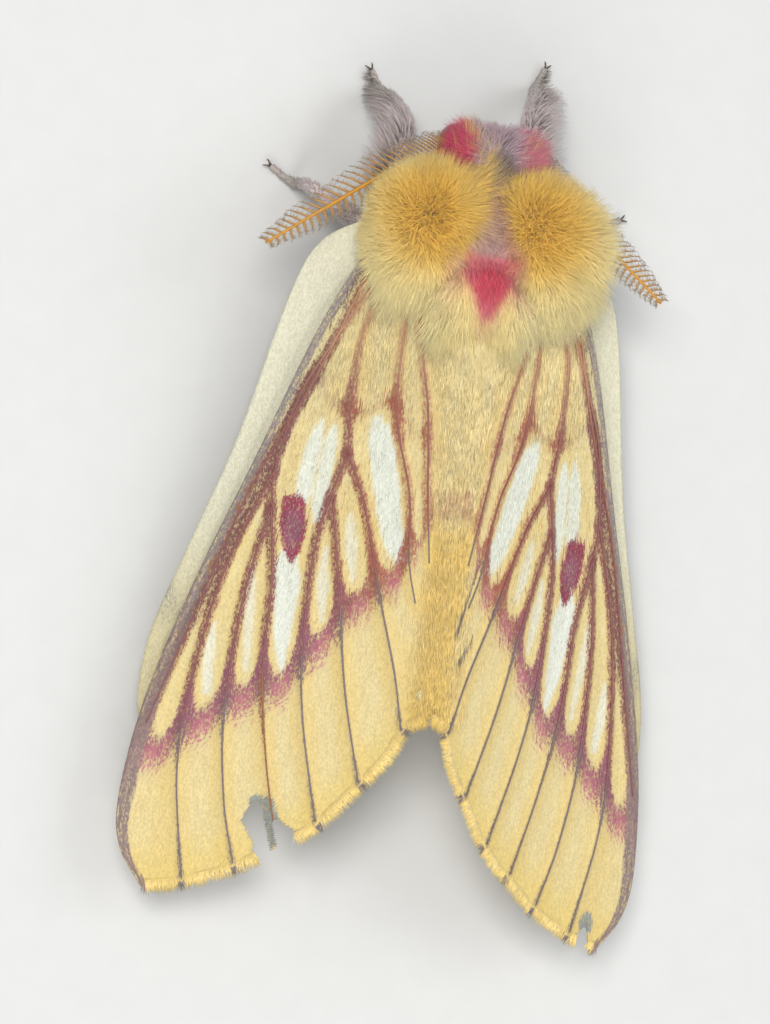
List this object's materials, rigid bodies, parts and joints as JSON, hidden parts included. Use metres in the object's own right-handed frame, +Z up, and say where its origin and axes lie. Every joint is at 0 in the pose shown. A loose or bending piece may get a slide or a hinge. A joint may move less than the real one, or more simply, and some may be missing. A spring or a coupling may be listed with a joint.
{
  "type": "hemileucine silk moth, male, wings folded",
  "caption": "Life-size yellow silk moth at rest with roof-folded wings, furry thorax and comb antennae",
  "frame": {"origin": "middle of the footprint, on the floor that the feet and the tip of the abdomen rest on", "axes": "+Z up, +Y from the wing tips to the head, +X to the moth's right"},
  "size_m": [0.032, 0.0547, 0.0118],
  "materials": {
    "coat_gold": "long soft hair, gold at the root and cream at the tips",
    "coat_yellow": "short dense yellow hair over tapering rings",
    "coat_lilac": "short lilac-grey hair with crimson-pink sides",
    "eye": "glossy near-black compound eye",
    "antenna": "golden-orange shaft with tan rays",
    "forewing": "powdery yellow scales with maroon veins, crimson spot and white patches",
    "hindwing": "powdery cream-yellow scales",
    "leg": "grey to lilac hair, dark glossy joints and claws"
  },
  "bodies": {
    "root": {"thorax": "coat_gold", "abdomen": "coat_yellow", "head": "coat_lilac", "eye_left": "eye", "eye_right": "eye", "antenna_left": "antenna", "antenna_right": "antenna", "forewing_left": "forewing", "forewing_right": "forewing", "hindwing_left": "hindwing", "hindwing_right": "hindwing", "foreleg_left": "leg", "foreleg_right": "leg", "midleg_left": "leg", "midleg_right": "leg", "hindleg_left": "leg", "hindleg_right": "leg"}
  },
  "joints": []
}
